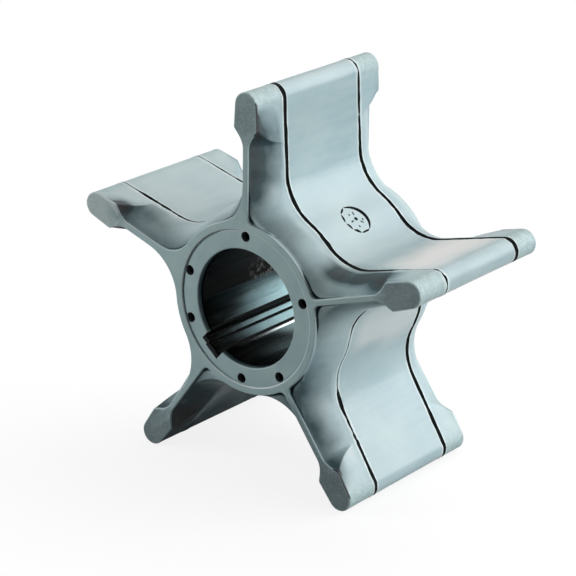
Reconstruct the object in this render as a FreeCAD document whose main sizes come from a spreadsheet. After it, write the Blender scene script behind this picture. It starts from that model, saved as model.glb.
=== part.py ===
import FreeCAD
import Part
import Sketcher
import math
import os

# Flexible-vane pump impeller, moulded rubber bonded on a keyed metal bush.
# The frame: the bore runs along +Y, the first vane points along +Z, and the origin is on
# the bore axis halfway between the two end faces.

doc = FreeCAD.newDocument("PumpImpeller")
sheet = doc.addObject("Spreadsheet::Sheet", "Sizes")

SIZES = [
    ("body_width", 29.3, "face to face along the bore"),
    ("vane_count", 5, "vanes, evenly spaced"),
    ("tip_radius", 33.2, "bore axis to the end of a vane"),
    ("bulb_thickness", 4.0, "vane thickness across the rounded tip"),
    ("root_thickness", 5.2, "vane thickness where the root fillet starts"),
    ("hub_radius", 15.0, "rubber hub between the mould lines"),
    ("root_fillet", 8.0, "vane to hub, in the gaps"),
    ("ring_radius", 13.4, "rubber hub at the end faces"),
    ("web_thickness", 1.0, "thin edge of a vane at the end faces"),
    ("bulb_inner_radius", 27.6, "inner corner of the tip bulb at the end faces"),
    ("bulb_fade_radius", 25.0, "inner corner of the tip bulb at the mould line"),
    ("bulb_fade_run", 0.3, "length of the slope under the bulb at the mould line"),
    ("bulb_bevel_run", 1.9, "length of the slope under the bulb, along the vane"),
    ("land_height", 0.4, "edge of the ring and webs that stands straight"),
    ("bulb_bend", 0.55, "how much of that slope is rounded into the web, from 0 to 1"),
    ("line_near", 6.5, "first mould line from the first face"),
    ("line_far", 5.2, "second mould line from the second face"),
    ("line_width", 0.6, "groove of a mould line"),
    ("line_depth", 0.4, "depth of the same groove"),
    ("bore_diameter", 18.0, "shaft bore in the bush"),
    ("bush_diameter", 24.4, "outside of the bush"),
    ("bush_cover", 1.1, "rubber over each end of the bush"),
    ("bush_chamfer", 0.3, "both ends of the bush's bore"),
    ("lip_clearance", 0.2, "rubber lip stands back from the bore by this"),
    ("key_width", 3.7, "keyway across"),
    ("key_depth", 1.4, "keyway below the bore surface"),
    ("key_angle", -130.4, "direction of the keyway, from X towards Z"),
    ("key_deep_width", 2.6, "deeper part of the keyway's floor, along its second side"),
    ("key_deep_step", 0.3, "how much deeper that part is"),
    ("key_clearance", 0.1, "rubber lip stands back from the keyway by this"),
    ("recess_radius", 12.15, "shallow round recess on both end faces"),
    ("recess_depth", 0.25, "depth of the same recess"),
    ("pin_diameter", 1.5, "holes left by the mould's locating pins"),
    ("pin_circle", 22.6, "diameter of the circle the pin holes are on"),
    ("pin_spread", 33.0, "two pin holes stand this far each side of the third vane"),
]
for row, (alias, value, note) in enumerate(SIZES, start=1):
    sheet.set("A%d" % row, alias)
    sheet.set("B%d" % row, str(value))
    sheet.set("C%d" % row, note)
    sheet.setAlias("B%d" % row, alias)
doc.recompute()


def size(name):
    return float(sheet.get(name))


# The star-shaped outline of the rubber.  Every section of it is five straight-sided vanes
# joined by arcs: "fade" is 0 at an end face, where the vane is a thin web with a bulb on
# its tip, and 1 at a mould line, where the vane has its full thickness.

def flank_line(inset):
    """Two points on a vane's flank, in (radial, across), tangent to the tip's round."""
    round_radius = size("bulb_thickness") / 2
    centre = size("tip_radius") - round_radius
    root_r = math.sqrt((size("hub_radius") + size("root_fillet")) ** 2
                       - (size("root_thickness") / 2 + size("root_fillet")) ** 2)
    rise = size("root_thickness") / 2 - round_radius
    run = centre - root_r
    tilt = math.atan2(rise, run)
    normal = (math.sin(tilt), math.cos(tilt))
    reach = round_radius - inset
    outer = (centre + reach * normal[0], reach * normal[1])
    inner = (outer[0] - run * math.cos(tilt), outer[1] + run * math.sin(tilt))
    return outer, inner, centre, reach


def on_line(p, q, radial):
    share = (radial - p[0]) / (q[0] - p[0])
    return (radial, p[1] + share * (q[1] - p[1]))


def blend(a, b, share):
    return a + (b - a) * share


def root_arc(p, q, fillet, hub):
    """Fillet between the line p-q and the hub circle: its centre and two tangent points."""
    length = math.hypot(q[0] - p[0], q[1] - p[1])
    along = ((q[0] - p[0]) / length, (q[1] - p[1]) / length)
    normal = (-along[1], along[0])
    if normal[1] < 0:
        normal = (-normal[0], -normal[1])
    start = (p[0] + fillet * normal[0], p[1] + fillet * normal[1])
    half_b = start[0] * along[0] + start[1] * along[1]
    rest = start[0] ** 2 + start[1] ** 2 - (hub + fillet) ** 2
    reach = -half_b + math.sqrt(half_b ** 2 - rest)
    other = -half_b - math.sqrt(half_b ** 2 - rest)
    centre = (start[0] + reach * along[0], start[1] + reach * along[1])
    if centre[0] < 0:
        centre = (start[0] + other * along[0], start[1] + other * along[1])
    on_flank = (centre[0] - fillet * normal[0], centre[1] - fillet * normal[1])
    far = math.hypot(centre[0], centre[1])
    on_hub = (centre[0] * hub / far, centre[1] * hub / far)
    return centre, on_flank, on_hub


def half_outline(fade, inset=0.0):
    """Corner points of half a vane, from the hub outwards, and the fillet's centre."""
    outer, inner, tip_centre, tip_round = flank_line(inset)
    web = size("web_thickness") / 2
    corner_r = blend(size("bulb_inner_radius"), size("bulb_fade_radius"), fade)
    slope_r = corner_r - blend(size("bulb_bevel_run"), size("bulb_fade_run"), fade)
    full_slope = on_line(outer, inner, slope_r)
    slope = (slope_r, blend(web, full_slope[1], fade))
    root = (inner[0], blend(web, inner[1], fade))
    corner = on_line(outer, inner, corner_r)
    bend = size("bulb_bend")
    bend_out = (blend(slope[0], corner[0], bend), blend(slope[1], corner[1], bend))
    bend_in = on_line(root, slope, slope[0] - bend * (corner[0] - slope[0]))
    hub = blend(size("ring_radius"), size("hub_radius"), fade) - inset
    fillet = size("root_fillet") + inset
    centre, on_flank, on_hub = root_arc(root, slope, fillet, hub)
    return {"hub": on_hub, "centre": centre, "flank": on_flank, "bend_in": bend_in,
            "slope": slope, "bend_out": bend_out, "corner": corner, "tip": outer,
            "tip_centre": tip_centre, "tip_round": tip_round, "hub_radius": hub}


def place(point, angle, side, y):
    across = point[1] * side
    c = math.cos(angle)
    s = math.sin(angle)
    return FreeCAD.Vector(point[0] * c - across * s, y, point[0] * s + across * c)


def vane_angles():
    count = int(size("vane_count"))
    return [math.radians(90.0 + 360.0 * k / count) for k in range(count)]


def arc(a, b, c):
    return Part.Arc(a, b, c).toShape()


def line(a, b):
    return Part.LineSegment(a, b).toShape()


def bend_curve(a, pole, b):
    curve = Part.BezierCurve()
    curve.setPoles([a, pole, b])
    return curve.toShape()


def star_wire(y, fade, inset=0.0, slivers=True):
    """Closed outline at the height y.  Without slivers the vanes' webs run straight into
    the ring, with no fillet."""
    half = half_outline(fade, inset)
    edges = []
    angles = vane_angles()
    step = angles[1] - angles[0]
    centre = half["centre"]
    far = math.hypot(centre[0] - half["flank"][0], centre[1] - half["flank"][1])
    if slivers:
        mid_dir = ((half["flank"][0] + half["hub"][0]) / 2 - centre[0],
                   (half["flank"][1] + half["hub"][1]) / 2 - centre[1])
        scale = far / math.hypot(mid_dir[0], mid_dir[1])
        fillet_mid = (centre[0] + mid_dir[0] * scale, centre[1] + mid_dir[1] * scale)
        hub_point = half["hub"]
    else:
        web = half["slope"][1]
        hub_point = (math.sqrt(half["hub_radius"] ** 2 - web ** 2), web)
        fillet_mid = None
    tip_end = (half["tip_centre"] + half["tip_round"], 0.0)
    for angle in angles:
        for side in (-1, 1):
            spot = {name: place(half[name], angle, side, y)
                    for name in ("flank", "bend_in", "slope", "bend_out", "corner", "tip")}
            start = place(hub_point, angle, side, y)
            parts = []
            if slivers:
                parts.append(arc(start, place(fillet_mid, angle, side, y), spot["flank"]))
                start = spot["flank"]
            parts.append(line(start, spot["bend_in"]))
            parts.append(bend_curve(spot["bend_in"], spot["slope"], spot["bend_out"]))
            parts.append(line(spot["bend_out"], spot["corner"]))
            parts.append(line(spot["corner"], spot["tip"]))
            if side < 0:
                edges.extend(parts)
                left_tip = spot["tip"]
            else:
                top = place(tip_end, angle, 1, y)
                edges.append(arc(left_tip, top, spot["tip"]))
                edges.extend(reversed(parts))
        gap = angle + step / 2
        a = place(hub_point, angle, 1, y)
        b = place((half["hub_radius"], 0.0), gap, 1, y)
        c = place(hub_point, angle + step, -1, y)
        edges.append(arc(a, b, c))
    return Part.Wire(edges)


def prism(wire, height):
    return Part.Face(wire).extrude(FreeCAD.Vector(0, height, 0))


def end_zone(face_y, line_y):
    """From an end face to a mould line: the ring and webs stand straight for a little,
    and then a smooth curve swells every web and the ring to the full outline."""
    inward = 1.0 if line_y > face_y else -1.0
    start = face_y + inward * size("land_height")
    land = prism(star_wire(face_y, 0.0, slivers=False), inward * size("land_height"))
    wires = []
    steps = 5
    for k in range(steps + 1):
        share = k / steps
        wires.append(star_wire(blend(start, line_y, share), 1 - (1 - share) ** 2))
    scoop = Part.makeLoft(wires, True, False)
    return land, scoop


half_width = size("body_width") / 2
near_line = -half_width + size("line_near")
far_line = half_width - size("line_far")
groove = size("line_width")

near_start = near_line - groove / 2
near_end = near_line + groove / 2
far_start = far_line - groove / 2
far_end = far_line + groove / 2

pieces = []
pieces.extend(end_zone(-half_width, near_start))
pieces.append(prism(star_wire(near_start, 1.0, size("line_depth")), groove))
pieces.append(prism(star_wire(near_end, 1.0), far_start - near_end))
pieces.append(prism(star_wire(far_start, 1.0, size("line_depth")), groove))
pieces.extend(end_zone(half_width, far_end))

for number, piece in enumerate(pieces):
    if not piece.isValid() or piece.Volume <= 0:
        raise RuntimeError("piece %d of the rubber is not sound" % number)

star = doc.addObject("Part::Feature", "StarBlock")
star.Shape = pieces[0].fuse(pieces[1:])
star.Label = "star_block"

# What the bush, the shaft, the key and the mould's pins leave open in the rubber.

turned = FreeCAD.Rotation(FreeCAD.Vector(1, 0, 0), -90)
tools = []


def cylinder(name, radius, height, start, x="0", z="0"):
    """A cylinder along +Y that starts at the given y."""
    obj = doc.addObject("Part::Cylinder", name)
    obj.Placement = FreeCAD.Placement(FreeCAD.Vector(0, 0, 0), turned)
    obj.setExpression("Radius", radius)
    obj.setExpression("Height", height)
    obj.setExpression("Placement.Base.x", x)
    obj.setExpression("Placement.Base.y", start)
    obj.setExpression("Placement.Base.z", z)
    tools.append(obj)
    return obj


cylinder("BushSeat", "Sizes.bush_diameter / 2", "Sizes.body_width - 2 * Sizes.bush_cover",
         "-Sizes.body_width / 2 + Sizes.bush_cover")
cylinder("LipBore", "Sizes.bore_diameter / 2 + Sizes.lip_clearance", "Sizes.body_width + 2",
         "-Sizes.body_width / 2 - 1")
cylinder("RecessNear", "Sizes.recess_radius", "Sizes.recess_depth + 1",
         "-Sizes.body_width / 2 - 1")
cylinder("RecessFar", "Sizes.recess_radius", "Sizes.recess_depth + 1",
         "Sizes.body_width / 2 - Sizes.recess_depth")


def key_slot(name, width, depth):
    """Room for the key through both rubber lips, from the keyway's second side inwards."""
    slot = doc.addObject("Part::Box", name)
    slot.Placement = FreeCAD.Placement(FreeCAD.Vector(0, 0, 0),
                                       FreeCAD.Rotation(FreeCAD.Vector(0, 1, 0), 90))
    slot.setExpression("Placement.Rotation.Angle", "-Sizes.key_angle * 1 deg")
    slot.setExpression("Length", "Sizes.bore_diameter / 2 + %s + Sizes.key_clearance" % depth)
    slot.setExpression("Width", "Sizes.body_width + 2")
    slot.setExpression("Height", "%s + 2 * Sizes.key_clearance" % width)
    side = "(Sizes.key_width / 2 - %s - Sizes.key_clearance)" % width
    slot.setExpression("Placement.Base.x", "-%s * sin(Sizes.key_angle * 1 deg)" % side)
    slot.setExpression("Placement.Base.y", "-Sizes.body_width / 2 - 1")
    slot.setExpression("Placement.Base.z", "%s * cos(Sizes.key_angle * 1 deg)" % side)
    tools.append(slot)


key_slot("LipKeyway", "Sizes.key_width", "Sizes.key_depth")
key_slot("LipDeepKeyway", "Sizes.key_deep_width", "Sizes.key_depth + Sizes.key_deep_step")

pins = ["90", "90 + 360 / Sizes.vane_count", "90 - 360 / Sizes.vane_count",
        "90 - 720 / Sizes.vane_count",
        "90 + 720 / Sizes.vane_count + Sizes.pin_spread",
        "90 + 720 / Sizes.vane_count - Sizes.pin_spread"]
for number, angle in enumerate(pins, start=1):
    x = "Sizes.pin_circle / 2 * cos((%s) * 1 deg)" % angle
    z = "Sizes.pin_circle / 2 * sin((%s) * 1 deg)" % angle
    cylinder("PinNear%d" % number, "Sizes.pin_diameter / 2", "Sizes.bush_cover",
             "-Sizes.body_width / 2", x, z)
    cylinder("PinFar%d" % number, "Sizes.pin_diameter / 2", "Sizes.bush_cover",
             "Sizes.body_width / 2 - Sizes.bush_cover", x, z)

openings = doc.addObject("Part::MultiFuse", "Openings")
openings.Shapes = tools
rubber = doc.addObject("Part::Cut", "VaneBody")
rubber.Base = star
rubber.Tool = openings
rubber.Label = "vane_body"
doc.recompute()

# The bush: a plain metal sleeve with a full-length keyway.

bush = doc.addObject("PartDesign::Body", "HubInsert")
bush.Label = "hub_insert"


def plane(body, role):
    for feature in body.Origin.OriginFeatures:
        if feature.Role == role:
            return feature
    raise RuntimeError("no plane " + role)


def sketch_on(body, role, name):
    sketch = body.newObject("Sketcher::SketchObject", name)
    sketch.AttachmentSupport = [(plane(body, role), "")]
    sketch.MapMode = "FlatFace"
    return sketch


ring = sketch_on(bush, "XZ_Plane", "BushSection")
centre = FreeCAD.Vector(0, 0, 0)
axis = FreeCAD.Vector(0, 0, 1)
ring.addGeometry(Part.Circle(centre, axis, size("bush_diameter") / 2), False)
ring.addGeometry(Part.Circle(centre, axis, size("bore_diameter") / 2), False)
for index in (0, 1):
    ring.addConstraint(Sketcher.Constraint("Coincident", index, 3, -1, 1))
ring.addConstraint(Sketcher.Constraint("Diameter", 0, size("bush_diameter")))
ring.setExpression("Constraints[2]", "Sizes.bush_diameter")
ring.addConstraint(Sketcher.Constraint("Diameter", 1, size("bore_diameter")))
ring.setExpression("Constraints[3]", "Sizes.bore_diameter")

sleeve = bush.newObject("PartDesign::Pad", "BushSleeve")
sleeve.Profile = ring
sleeve.SideType = "Symmetric"
sleeve.setExpression("Length", "Sizes.body_width - 2 * Sizes.bush_cover")
doc.recompute()

bore_edges = []
for number, edge in enumerate(sleeve.Shape.Edges, start=1):
    curve = edge.Curve
    if curve.TypeId == "Part::GeomCircle" and abs(curve.Radius - size("bore_diameter") / 2) < 1e-6:
        bore_edges.append("Edge%d" % number)
chamfer = bush.newObject("PartDesign::Chamfer", "BoreChamfer")
chamfer.Base = (sleeve, bore_edges)
chamfer.setExpression("Size", "Sizes.bush_chamfer")
doc.recompute()


def key_pocket(name, width, depths):
    """A full-length pocket that starts on the bore axis and ends at the keyway's second side."""
    section = sketch_on(bush, "XZ_Plane", name + "Section")
    section.setExpression("AttachmentOffset.Rotation.Angle", "Sizes.key_angle * 1 deg")
    high = size("key_width") / 2
    low = high - size(width)
    reach = size("bore_diameter") / 2 + sum(size(depth) for depth in depths)
    points = [FreeCAD.Vector(u, v, 0) for u, v in
              ((0, low), (reach, low), (reach, high), (0, high))]
    for a, b in zip(points, points[1:] + points[:1]):
        section.addGeometry(Part.LineSegment(a, b), False)
    for index in range(4):
        section.addConstraint(Sketcher.Constraint("Coincident", index, 2, (index + 1) % 4, 1))
    section.addConstraint(Sketcher.Constraint("Horizontal", 0))
    section.addConstraint(Sketcher.Constraint("Horizontal", 2))
    section.addConstraint(Sketcher.Constraint("Vertical", 1))
    section.addConstraint(Sketcher.Constraint("Vertical", 3))
    section.addConstraint(Sketcher.Constraint("PointOnObject", 0, 1, -2))
    section.addConstraint(Sketcher.Constraint("DistanceY", -1, 1, 2, 2, high))
    section.setExpression("Constraints[9]", "Sizes.key_width / 2")
    section.addConstraint(Sketcher.Constraint("Distance", 1, size(width)))
    section.setExpression("Constraints[10]", "Sizes." + width)
    section.addConstraint(Sketcher.Constraint("Distance", 0, reach))
    section.setExpression("Constraints[11]", " + ".join(
        ["Sizes.bore_diameter / 2"] + ["Sizes." + depth for depth in depths]))
    pocket = bush.newObject("PartDesign::Pocket", name)
    pocket.Profile = section
    pocket.SideType = "Symmetric"
    pocket.setExpression("Length", "Sizes.body_width")
    bush.Tip = pocket
    doc.recompute()
    return pocket


keyway = key_pocket("Keyway", "key_width", ["key_depth"])
deep_keyway = key_pocket("DeepKeyway", "key_deep_width", ["key_depth", "key_deep_step"])
if not deep_keyway.Shape.Volume < keyway.Shape.Volume < chamfer.Shape.Volume:
    raise RuntimeError("a pocket of the keyway removed nothing")

for obj in doc.Objects:
    if "Invalid" in obj.State or "Error" in obj.State:
        raise RuntimeError("%s failed: %s" % (obj.Name, obj.State))

os.makedirs("parts", exist_ok=True)
for node in (rubber, bush):
    shape = node.Shape
    if shape.isNull() or not shape.isValid() or len(shape.Solids) != 1:
        raise RuntimeError("%s is not one sound solid" % node.Label)
    box = shape.BoundBox
    print(node.Label, "volume", round(shape.Volume, 1), "box",
          [round(v, 3) for v in (box.XMin, box.YMin, box.ZMin, box.XMax, box.YMax, box.ZMax)])
    shape.exportStep("parts/%s.step" % node.Label)
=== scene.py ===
# %% [markdown]
# A pump impeller: five rubber vanes round a hub, moulded onto a metal bush with a keyway.
# The imported model gives the true sizes. Its box is kept.

# %% Load the imported model
import bmesh
import bpy
import math
from mathutils import Matrix, Vector, noise
from types import SimpleNamespace


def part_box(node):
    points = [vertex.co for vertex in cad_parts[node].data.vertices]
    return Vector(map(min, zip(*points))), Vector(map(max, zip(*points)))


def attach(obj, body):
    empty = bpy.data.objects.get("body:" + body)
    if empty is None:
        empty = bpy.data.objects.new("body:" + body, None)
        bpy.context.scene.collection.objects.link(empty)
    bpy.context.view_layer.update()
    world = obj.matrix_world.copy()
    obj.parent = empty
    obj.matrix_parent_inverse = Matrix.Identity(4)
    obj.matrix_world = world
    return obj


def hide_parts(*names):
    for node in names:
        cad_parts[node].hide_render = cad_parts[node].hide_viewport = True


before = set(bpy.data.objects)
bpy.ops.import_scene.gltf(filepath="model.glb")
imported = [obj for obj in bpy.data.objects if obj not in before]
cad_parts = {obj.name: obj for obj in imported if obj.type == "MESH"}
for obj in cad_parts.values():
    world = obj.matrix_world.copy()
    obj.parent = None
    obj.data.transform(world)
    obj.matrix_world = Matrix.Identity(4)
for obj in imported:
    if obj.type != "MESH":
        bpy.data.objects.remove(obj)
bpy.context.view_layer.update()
bpy.ops.object.select_all(action="DESELECT")

# %% [markdown]
# Lengths are written in millimetres and turned to metres where they meet Blender. The width
# and the bush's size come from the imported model; the rest are the impeller's own sizes.
# Every place on a vane has three measures: radial, from the bore's axis; across, from the
# vane's middle plane; and down, from an end face towards the other face.

# %% Sizes in millimetres
MM = 0.001
rubber_low, rubber_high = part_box("vane_body")
bush_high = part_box("hub_insert")[1]
half_width = rubber_high.y / MM
bush_radius = bush_high.x / MM
bush_end = bush_high.y / MM

vane_count = 5
burr = 0.06
tip_radius = rubber_high.z / MM - burr
bulb_half = 2.0
root_half = 2.6
hub_radius = 15.0
root_fillet = 8.0
ring_radius = 13.4
web_half = 0.5
bulb_inner_radius = 27.6
bulb_fade_radius = 25.0
bulb_bevel_run = 1.9
bulb_fade_run = 0.3
bulb_bend = 0.55
land_height = 0.4
line_near = 6.5
line_far = 5.2
line_half = 0.42
line_depth = 0.62
bore_radius = 9.0
lip_radius = 9.2
recess_radius = 12.15
recess_depth = 0.25
bush_cover = half_width - bush_end
half_gap = math.pi / vane_count
print("half width", round(half_width, 2), "bush radius", round(bush_radius, 2),
      "rubber over the bush", round(bush_cover, 2))

# %% [markdown]
# The outline of one vane, seen along the bore. At an end face the vane is a thin web with a
# bulb on its tip; at a mould line it has its full thickness. A number called fade runs from
# 0 to 1 between the two. Half an outline is a chain of arcs and lines from the middle of the
# gap to the tip, always with the same number of points, so that outlines at different depths
# join into clean rows of faces.

# %% Half an outline
HUB_STEPS = 8
FILLET_STEPS = 12
WEB_STEPS = 8
BEND_STEPS = 7
SLOPE_STEPS = 2
CORNER_STEPS = 3
FLANK_STEPS = 5
TIP_STEPS = 8
corner_round = 0.25
land_fillet = 0.9


def blend(a, b, share):
    return a + (b - a) * share


def between(p, q, share):
    return (blend(p[0], q[0], share), blend(p[1], q[1], share))


def at_radial(p, q, radial):
    return between(p, q, (radial - p[0]) / (q[0] - p[0]))


def toward(p, q, distance):
    return between(p, q, distance / math.dist(p, q))


# %% [markdown]
# A full vane has straight flanks that thicken a little towards the root, where a fillet
# runs into the hub. Each stretch of the outline gives its points without the last one, so
# that stretches can be put end to end.

# %% The stretches of the outline
def flank():
    """The straight flank of a full vane: its end at the tip's round and its end at the root."""
    centre = tip_radius - bulb_half
    root = math.sqrt((hub_radius + root_fillet) ** 2 - (root_half + root_fillet) ** 2)
    run = centre - root
    tilt = math.atan2(root_half - bulb_half, run)
    outer = (centre + bulb_half * math.sin(tilt), bulb_half * math.cos(tilt))
    inner = (outer[0] - run * math.cos(tilt), outer[1] + run * math.sin(tilt))
    return outer, inner, centre


def root_arc(p, q, hub):
    """The fillet between the line p-q and the hub: centre, end on the line, end on the hub."""
    length = math.dist(p, q)
    along = ((q[0] - p[0]) / length, (q[1] - p[1]) / length)
    normal = (-along[1], along[0])
    start = (p[0] + root_fillet * normal[0], p[1] + root_fillet * normal[1])
    half_b = start[0] * along[0] + start[1] * along[1]
    rest = start[0] ** 2 + start[1] ** 2 - (hub + root_fillet) ** 2
    reach = -half_b + math.sqrt(half_b ** 2 - rest)
    centre = (start[0] + reach * along[0], start[1] + reach * along[1])
    on_line = (centre[0] - root_fillet * normal[0], centre[1] - root_fillet * normal[1])
    share = hub / math.hypot(*centre)
    return centre, on_line, (centre[0] * share, centre[1] * share)


def arc_points(centre, start, end, steps):
    """Points on the short arc from start to end, without the last one."""
    radius = math.dist(centre, start)
    first = math.atan2(start[1] - centre[1], start[0] - centre[0])
    last = math.atan2(end[1] - centre[1], end[0] - centre[0])
    sweep = (last - first + math.pi) % (2 * math.pi) - math.pi
    return [(centre[0] + radius * math.cos(first + sweep * k / steps),
             centre[1] + radius * math.sin(first + sweep * k / steps)) for k in range(steps)]


def line_points(start, end, steps):
    return [between(start, end, k / steps) for k in range(steps)]


def curve_points(start, pole, end, steps):
    """Points on the curve that leaves start towards pole and arrives at end from it."""
    return [between(between(start, pole, k / steps), between(pole, end, k / steps), k / steps)
            for k in range(steps)]


# %% [markdown]
# The stretches are put together for any fade. The land has its own small fillets, and the
# whole outline is two mirrored halves. To grow an outline is to move each point outwards.

# %% The whole outline
def half_outline(fade, land=False, swell=None):
    """Fade moves the hub and the bulb's edge; swell thickens the web beside the bulb."""
    if swell is None:
        swell = fade
    outer, inner, tip_centre = flank()
    corner_r = blend(bulb_inner_radius, bulb_fade_radius, fade)
    slope_r = corner_r - blend(bulb_bevel_run, bulb_fade_run, fade)
    slope = (slope_r, blend(web_half, at_radial(outer, inner, slope_r)[1], swell))
    root = (inner[0], blend(web_half, inner[1], fade))
    corner = at_radial(outer, inner, corner_r)
    bend_out = between(slope, corner, bulb_bend)
    bend_in = at_radial(root, slope, slope_r - bulb_bend * (corner_r - slope_r))
    hub = blend(ring_radius, hub_radius, fade)
    centre, on_web, on_hub = root_arc(root, slope, hub)
    gap_middle = (hub * math.cos(half_gap), hub * math.sin(half_gap))
    points = arc_points((0, 0), gap_middle, on_hub, HUB_STEPS)
    if land:
        reach = hub + land_fillet
        turn = (math.sqrt(reach ** 2 - (web_half + land_fillet) ** 2), web_half + land_fillet)
        on_ring = (turn[0] * hub / reach, turn[1] * hub / reach)
        third = FILLET_STEPS // 3
        points += arc_points((0, 0), on_hub, on_ring, third)
        points += arc_points(turn, on_ring, (turn[0], web_half), third)
        points += line_points((turn[0], web_half), on_web, third)
    else:
        points += arc_points(centre, on_hub, on_web, FILLET_STEPS)
    before = toward(corner, bend_out, min(corner_round, 0.8 * math.dist(corner, bend_out)))
    after = toward(corner, outer, corner_round)
    tip_end = (tip_radius, 0.0)
    points += line_points(on_web, bend_in, WEB_STEPS)
    points += curve_points(bend_in, slope, bend_out, BEND_STEPS)
    points += line_points(bend_out, before, SLOPE_STEPS)
    points += curve_points(before, corner, after, CORNER_STEPS)
    points += line_points(after, outer, FLANK_STEPS)
    points += arc_points((tip_centre, 0.0), outer, tip_end, TIP_STEPS)
    return points + [tip_end]


def outline(fade, land=False, swell=None):
    """From the middle of one gap round the vane to the middle of the next."""
    half = half_outline(fade, land, swell)
    return [(r, -t) for r, t in half] + half[-2::-1]


def grown(points, amounts):
    """The outline moved outwards, each point by its own amount, with mitred corners."""
    moved = []
    last = len(points) - 1
    for k, (r, t) in enumerate(points):
        before = points[max(k - 1, 0)]
        after = points[min(k + 1, last)]
        edges = []
        for a, b in ((before, (r, t)), ((r, t), after)):
            length = math.dist(a, b)
            if length > 1e-6:
                edges.append(((b[1] - a[1]) / length, -(b[0] - a[0]) / length))
        normal = Vector((sum(e[0] for e in edges), sum(e[1] for e in edges))).normalized()
        if k in (0, last):
            normal = Vector((r, t)).normalized()
        mitre = max(0.5, normal.dot(edges[0]))
        moved.append((r + normal.x * amounts[k] / mitre, t + normal.y * amounts[k] / mitre))
    return moved


full = outline(1.0)
around = len(full)
print("points in one vane's outline", around)

# %% [markdown]
# Real moulded rubber has no knife edges. The land, which is the flat that stands round the
# ring, the webs and the bulbs, gets a rounded edge. Inside it a narrow crease runs where the
# thin web meets the ring. The scoop then swells in a smooth curve to the mould line, and the
# mould line is a groove with a fine burr on both sides. Each step of these is a row: how far
# down from the face it lies, and the outline there.

# %% Rows from an end face to its mould line
EDGE_STEPS = 4
SCOOP_STEPS = 13
edge_round = 0.2
crease_width = 0.26
crease_depth = 0.5
scoop_round = 0.9
swell_delay = 0.35
burr_run = 0.3
# The steps round a quarter-round edge, each as shares of its radius: in from the side that it
# ends on, and down from the face that it starts on.
EDGE_TURNS = [math.pi / 2 * k / EDGE_STEPS for k in range(EDGE_STEPS + 1)]
QUARTER_ROUND = [(1 - math.sin(turn), 1 - math.cos(turn)) for turn in EDGE_TURNS]

# Across a mould line: place along the bore and growth of the outline.
LINE_PROFILE = [
    (-line_half - burr_run, 0.0),
    (-line_half - 0.13, 0.7 * burr),
    (-line_half - 0.05, burr),
    (-line_half, 0.5 * burr),
    (-line_half + 0.03, -0.15),
    (-line_half + 0.08, -0.8 * line_depth),
    (-line_half + 0.18, -line_depth),
    (line_half - 0.18, -line_depth),
    (line_half - 0.08, -0.8 * line_depth),
    (line_half - 0.03, -0.15),
    (line_half, 0.5 * burr),
    (line_half + 0.05, burr),
    (line_half + 0.13, 0.7 * burr),
    (line_half + burr_run, 0.0),
]


def same(amount):
    return [amount] * around


def land_rows(filleted=False):
    """Filleted, the land follows the root's fillets and has no crease."""
    land = outline(0.0, land=not filleted)
    rows = [(edge_round * down, grown(land, same(-edge_round * back)))
            for back, down in QUARTER_ROUND]
    sliver = outline(0.0)
    gaps = [math.dist(a, b) for a, b in zip(land, sliver)]
    sink = [crease_depth * min(1.0, gap / (3 * crease_width)) for gap in gaps]
    rows.append(([land_height] * around, land))
    for reach, sunk in ((0.5, 1.0), (1.5, 0.8), (2.5, 0.0)):
        shares = [min(1.0, reach * crease_width / max(gap, 1e-6)) for gap in gaps]
        downs = [land_height + sunk * deepest * (share < 1.0)
                 for deepest, share in zip(sink, shares)]
        rows.append((downs, [between(*pair) for pair in zip(land, sliver, shares)]))
    rows.append((land_height, sliver))
    return rows


def scoop_rows(line):
    lip = line - line_half
    last = (lip - burr_run - land_height) / (lip - land_height)
    rows = []
    for k in range(1, SCOOP_STEPS):
        share = last * k / SCOOP_STEPS
        fade = blend(share, 1 - (1 - share) ** 2, scoop_round)
        swell = blend(fade, share * share * (3 - 2 * share), swell_delay)
        rows.append((blend(land_height, lip, share), outline(fade, swell=swell)))
    return rows


def line_rows(line):
    return [(line + along, grown(full, same(growth))) for along, growth in LINE_PROFILE]


def end_rows(line):
    """Rows as (kind, down, points), from the face past the mould line."""
    rows = [("land", *row) for row in land_rows()]
    rows += [("scoop", *row) for row in scoop_rows(line)]
    rows += [("line", *row) for row in line_rows(line)]
    return rows


MIDDLE_STEPS = 6
near_rows = end_rows(line_near)
far_rows = end_rows(line_far)
middle_start = line_near + line_half + burr_run
middle_end = 2 * half_width - line_far - line_half - burr_run
middle_rows = [("middle", blend(middle_start, middle_end, k / MIDDLE_STEPS), full)
               for k in range(1, MIDDLE_STEPS)]
print("rows from face to face", len(near_rows) + len(middle_rows) + len(far_rows))

# %% [markdown]
# One vane is modelled as by hand: a circle of points is opened into a chain, laid on the
# first row, extruded, laid on the next row, and so on from face to face. Each point keeps
# its number along the chain, so that a newly extruded row can be put in its place.

# %% A vane by extruding its outline
# The depth attribute carries painted shade; with a minus it carries painted light.
depth_name = "scoop_depth"
# The burr attribute marks where a painted highlight lies.
highlight_name = "burr"
# Painted shade kept at the far end, and painted shade in the creases and under the bulb.
far_shade_share = 0.35
crease_shade = 2.0
notch_shade = 0.5
notch_reach = 4.5
notch_number = HUB_STEPS + FILLET_STEPS + WEB_STEPS + BEND_STEPS + SLOPE_STEPS


def place(r, t, y):
    """A point of the first vane, which stands along +Z."""
    return Vector((-t * MM, y * MM, r * MM))


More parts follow.
